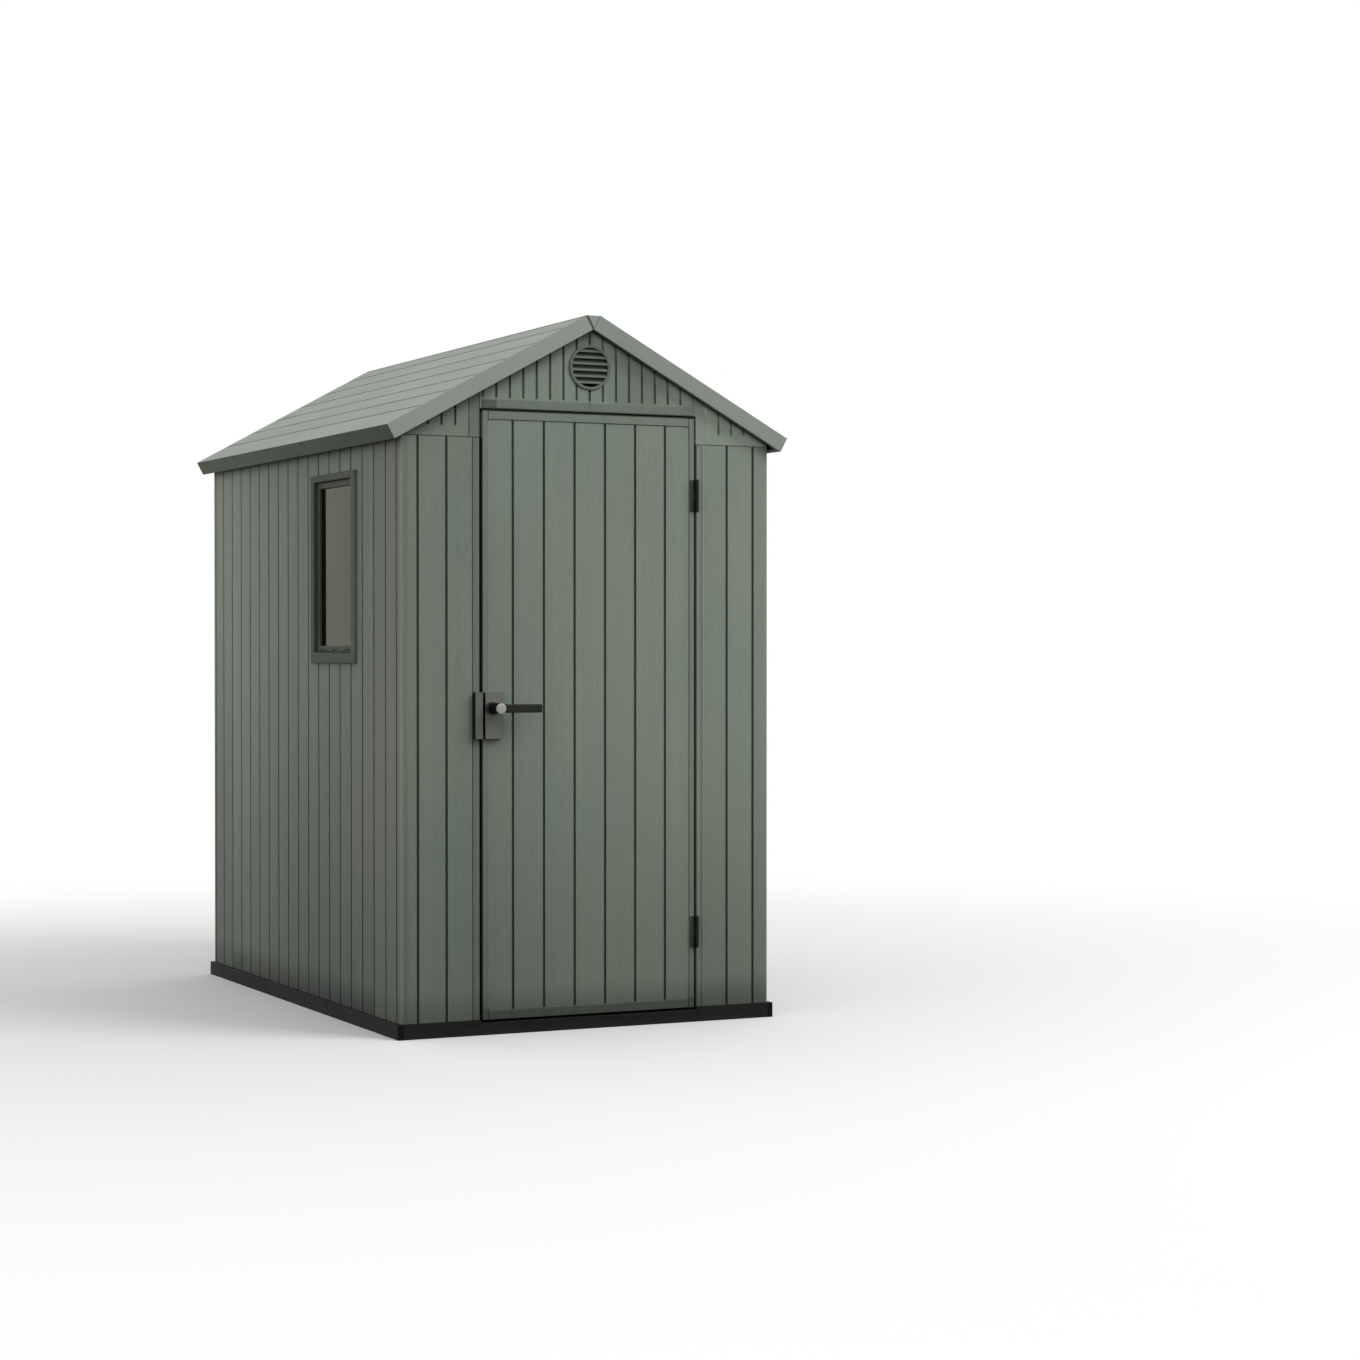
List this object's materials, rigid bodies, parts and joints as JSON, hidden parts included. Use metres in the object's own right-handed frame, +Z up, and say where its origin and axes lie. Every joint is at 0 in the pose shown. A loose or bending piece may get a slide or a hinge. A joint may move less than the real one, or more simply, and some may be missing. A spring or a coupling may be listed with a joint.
{
  "type": "plastic garden shed",
  "caption": "Small plastic garden shed with boarded wall panels, ridge roof, hinged front door with a lever handle, side window, round gable vents and a dark floor.",
  "frame": {"origin": "on the ground at the centre of the wall footprint, on the underside of the middle floor panel", "axes": "+Z up, -Y towards the door side, -X towards the window side"},
  "size_m": [1.258, 1.892, 2.05],
  "materials": {
    "wall_plastic": "satin, wood-grain",
    "door_plastic": "satin, wood-grain",
    "roof_plastic": "satin",
    "floor_plastic": "matt",
    "frame_plastic": "satin",
    "pane": "clear",
    "hinge_plastic": "matt",
    "lock_plastic": "satin",
    "lever_plastic": "satin",
    "cap_metal": "satin",
    "beam_steel": "galvanised"
  },
  "bodies": {
    "shed": {"front_left_corner_panel": "wall_plastic", "front_right_corner_panel": "wall_plastic", "rear_left_corner_panel": "wall_plastic", "rear_right_corner_panel": "wall_plastic", "rear_centre_panel": "wall_plastic", "left_window_panel": "wall_plastic", "left_rear_panel": "wall_plastic", "right_front_panel": "wall_plastic", "right_rear_panel": "wall_plastic", "front_gable_left": "wall_plastic", "front_gable_right": "wall_plastic", "rear_gable_left": "wall_plastic", "rear_gable_right": "wall_plastic", "front_vent": "wall_plastic", "rear_vent": "wall_plastic", "roof_left_panel": "roof_plastic", "roof_right_panel": "roof_plastic", "ridge_cap": "roof_plastic", "floor_front_panel": "floor_plastic", "floor_centre_panel": "floor_plastic", "floor_rear_panel": "floor_plastic", "window_frame": "frame_plastic", "window_sash": "frame_plastic", "window_inner_frame": "frame_plastic", "window_pane": "pane", "upper_hinge_wall_leaf": "hinge_plastic", "lower_hinge_wall_leaf": "hinge_plastic", "upper_hinge_pin": "hinge_plastic", "lower_hinge_pin": "hinge_plastic", "lock_keeper": "lock_plastic", "ridge_beam": "beam_steel"},
    "door": {"door_leaf": "door_plastic", "lock_case": "lock_plastic", "upper_hinge_door_leaf": "hinge_plastic", "lower_hinge_door_leaf": "hinge_plastic"},
    "handle": {"lever_handle": "lever_plastic", "lever_cap": "cap_metal", "lever_spindle": "beam_steel"}
  },
  "joints": [
    {"name": "door_hinge", "type": "hinge", "parent": "shed", "child": "door", "pos_m": [0.3375, -0.904, 0.9], "axis": [0, 0, 1], "range_deg": [0, 105]},
    {"name": "lever_turn", "type": "hinge", "parent": "door", "child": "handle", "pos_m": [-0.306, -0.916, 0.9255], "axis": [0, 1, 0], "range_deg": [0, 60]}
  ]
}
